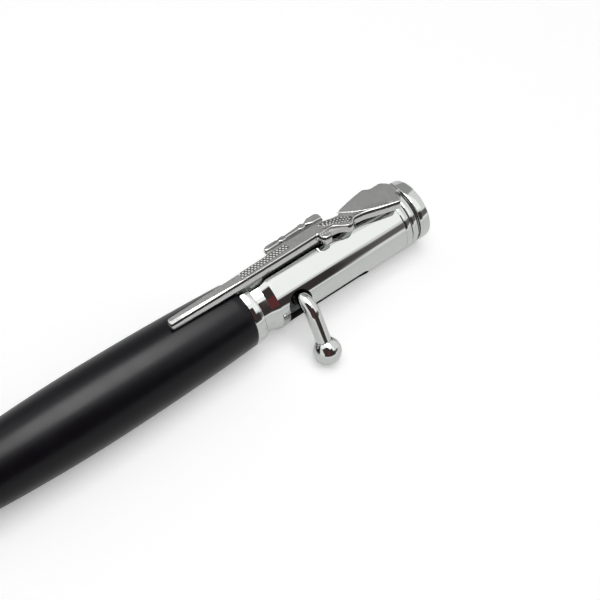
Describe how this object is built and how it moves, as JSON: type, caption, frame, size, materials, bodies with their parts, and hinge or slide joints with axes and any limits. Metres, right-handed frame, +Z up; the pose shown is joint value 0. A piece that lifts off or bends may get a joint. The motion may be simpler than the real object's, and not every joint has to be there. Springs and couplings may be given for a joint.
{
  "type": "bolt-action ball pen",
  "caption": "Bolt-action ball pen with a cartridge-shaped chrome upper half, a bent bolt handle in an L-shaped slot, a rifle-shaped clip and a black barrel.",
  "frame": {"origin": "under the middle of the pen's box, on the surface that the belly of the barrel touches", "axes": "+X along the pen's axis from the writing point to the cap, +Z up, -Y towards the bolt knob"},
  "size_m": [0.1346, 0.0232, 0.0165],
  "materials": {
    "black_lacquer": "satin black",
    "chrome": "polished",
    "cast_grey": "satin cast grey with polished edges",
    "brass": "turned",
    "spring_steel": "plain",
    "refill_steel": "plain",
    "black_plastic": "moulded",
    "white_plastic": "moulded",
    "carbide": "ground"
  },
  "bodies": {
    "pen_body": {"barrel": "black_lacquer", "barrel_liner": "brass", "nib_coupler": "brass", "nib_washer": "chrome", "centre_coupler": "brass", "centre_ring": "chrome", "cartridge_case": "chrome", "end_bushing": "chrome", "spring_washer": "spring_steel", "clip_band": "chrome", "end_cap": "chrome", "cap_stud": "spring_steel", "primer_disc": "chrome"},
    "refill": {"thrust_pad": "white_plastic", "refill_tube": "refill_steel", "refill_plug": "black_plastic", "refill_nose": "brass", "refill_point": "brass"},
    "bolt": {"bolt_carrier": "black_plastic", "bolt_handle": "chrome", "bolt_knob": "chrome"},
    "spring": {"nose_spring": "spring_steel"},
    "nib": {"nib": "chrome"},
    "clip": {"clip": "cast_grey"},
    "ball": {"writing_ball": "carbide"}
  },
  "joints": [
    {"name": "bolt_press", "type": "slide", "parent": "pen_body", "child": "refill", "axis": [1, 0, 0], "range_m": [-0.0012, 0], "stiffness_N_per_m": 150, "springref_m": 0.004, "deforming": ["nose_spring"]},
    {"name": "bolt_turn", "type": "hinge", "parent": "refill", "child": "bolt", "pos_m": [0.0365, 0.00456, 0.00707], "axis": [1, 0, 0], "range_deg": [0, 48.1]},
    {"name": "nib_back_off", "type": "slide", "parent": "pen_body", "child": "spring", "axis": [1, 0, 0], "range_m": [-0.00375, 0]},
    {"name": "nib_turn", "type": "hinge", "parent": "spring", "child": "nib", "pos_m": [-0.035, 0.00456, 0.00707], "axis": [1, 0, 0], "range_deg": [-1801, 0]},
    {"name": "clip_flex", "type": "hinge", "parent": "pen_body", "child": "clip", "pos_m": [0.06348, 0.00611, 0.01307], "axis": [0, 0.9686, -0.2487], "range_deg": [0, 3], "stiffness_Nm_per_rad": 4, "springref_deg": -1.15},
    {"name": "ball_roll", "type": "hinge", "parent": "refill", "child": "ball", "pos_m": [-0.06678, 0.00456, 0.00707], "axis": [0, 1, 0], "continuous": true}
  ],
  "couplings": [
    {"joint": "nib_turn", "follows": "nib_back_off", "rad_per_m": 8377.6}
  ]
}
